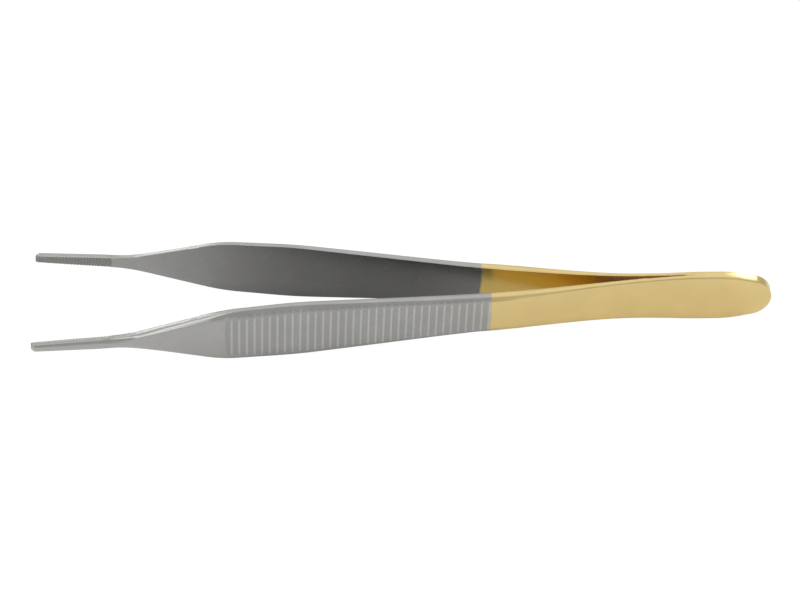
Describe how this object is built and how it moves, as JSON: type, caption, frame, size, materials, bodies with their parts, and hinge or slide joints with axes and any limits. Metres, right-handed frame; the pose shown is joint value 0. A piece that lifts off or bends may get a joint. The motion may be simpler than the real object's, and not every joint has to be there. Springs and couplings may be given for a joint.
{
  "type": "thumb forceps",
  "caption": "Fine tissue forceps: welded spring arms with ribbed, bevelled grips and a gold-plated tail narrow to slim toothed carbide tips that hold tissue.",
  "frame": {"origin": "under the middle of the bounding box, on the plane that the forceps lies on when it rests on its narrow edges", "axes": "+X runs from the tips to the tail, Y is the direction in which the arms open, with the near arm at -Y and the far arm at +Y, and +Z is across the blades"},
  "size_m": [0.12, 0.0214, 0.011],
  "materials": {
    "arm_steel": "satin stainless steel, the rear two fifths gold plated",
    "carbide": "ground carbide, matte dark grey"
  },
  "bodies": {
    "root": {"near_arm": "arm_steel", "far_arm": "arm_steel", "near_jaw_insert": "carbide", "far_jaw_insert": "carbide"}
  },
  "joints": []
}
